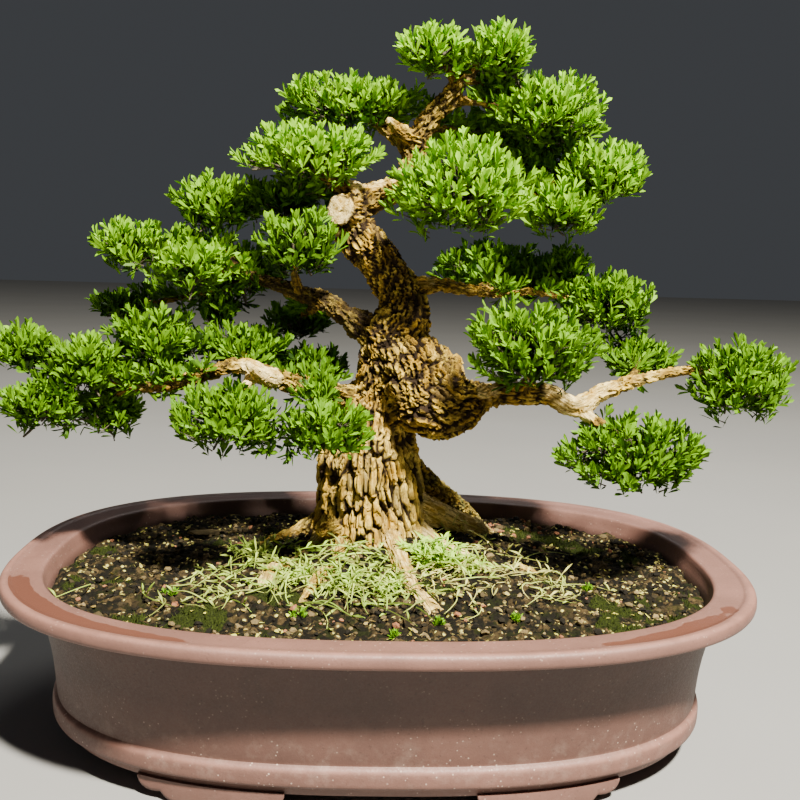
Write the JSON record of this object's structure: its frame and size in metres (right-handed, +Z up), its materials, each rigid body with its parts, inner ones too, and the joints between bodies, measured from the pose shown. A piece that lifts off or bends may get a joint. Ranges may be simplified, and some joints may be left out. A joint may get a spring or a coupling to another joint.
{
  "type": "boxwood bonsai in an oval pot",
  "caption": "Old boxwood bonsai with a thick corky trunk, spreading leafy pads and surface roots, planted in a footed oval unglazed clay pot",
  "frame": {"origin": "centre of the oval pot, on the surface that its four feet stand on", "axes": "+Z up; +X to the right along the pot's long side, seen from the front; -Y towards the viewer at the front of the tree"},
  "size_m": [0.595, 0.444, 0.5322],
  "materials": {
    "clay": "unglazed fired clay, smooth, matt to faintly satin, with fine mineral speckle and water stains on the lip",
    "earth": "damp granular bonsai soil of dark grit with moss in places",
    "bark": "dry corky bark in blocky plates, with cream deadwood at the old cuts",
    "foliage": "small leathery evergreen leaves, faintly glossy on top",
    "grass": "thin matt grass blades and stems",
    "screen_plastic": "dark green moulded mesh",
    "clip_wire": "bare drawn wire"
  },
  "bodies": {
    "root": {"pot": "clay", "soil": "earth", "tree_wood": "bark", "drain_screen_left": "screen_plastic", "screen_clip_left": "clip_wire", "drain_screen_right": "screen_plastic", "screen_clip_right": "clip_wire", "foliage_apex_left": "foliage", "foliage_apex_right": "foliage", "foliage_apex_low": "foliage", "foliage_top_left_under": "foliage", "foliage_top_gap": "foliage", "foliage_left_upper_back": "foliage", "foliage_right_joint": "foliage", "foliage_top_left_back": "foliage", "foliage_top_left": "foliage", "foliage_top_back": "foliage", "foliage_top_right": "foliage", "foliage_front": "foliage", "foliage_far_top_right": "foliage", "foliage_middle_right_front": "foliage", "foliage_left_top": "foliage", "foliage_left_far": "foliage", "foliage_left_middle": "foliage", "foliage_left_inner": "foliage", "foliage_left_inner_back": "foliage", "foliage_left_far_back": "foliage", "foliage_left_back": "foliage", "foliage_right_back": "foliage", "foliage_right_middle": "foliage", "foliage_right_front": "foliage", "foliage_right_small": "foliage", "foliage_right_end": "foliage", "foliage_right_low": "foliage", "foliage_left_low_end": "foliage", "foliage_left_low_middle": "foliage", "foliage_left_low_top": "foliage", "foliage_left_low_inner": "foliage", "foliage_left_low_tip": "foliage", "foliage_left_low_hanging": "foliage", "foliage_left_low_front": "foliage", "foliage_left_front": "foliage", "foliage_left_low_back": "foliage", "grass_left": "grass", "grass_front_left": "grass", "grass_front": "grass", "grass_front_right": "grass", "grass_right": "grass", "herb_front": "grass"}
  },
  "joints": []
}
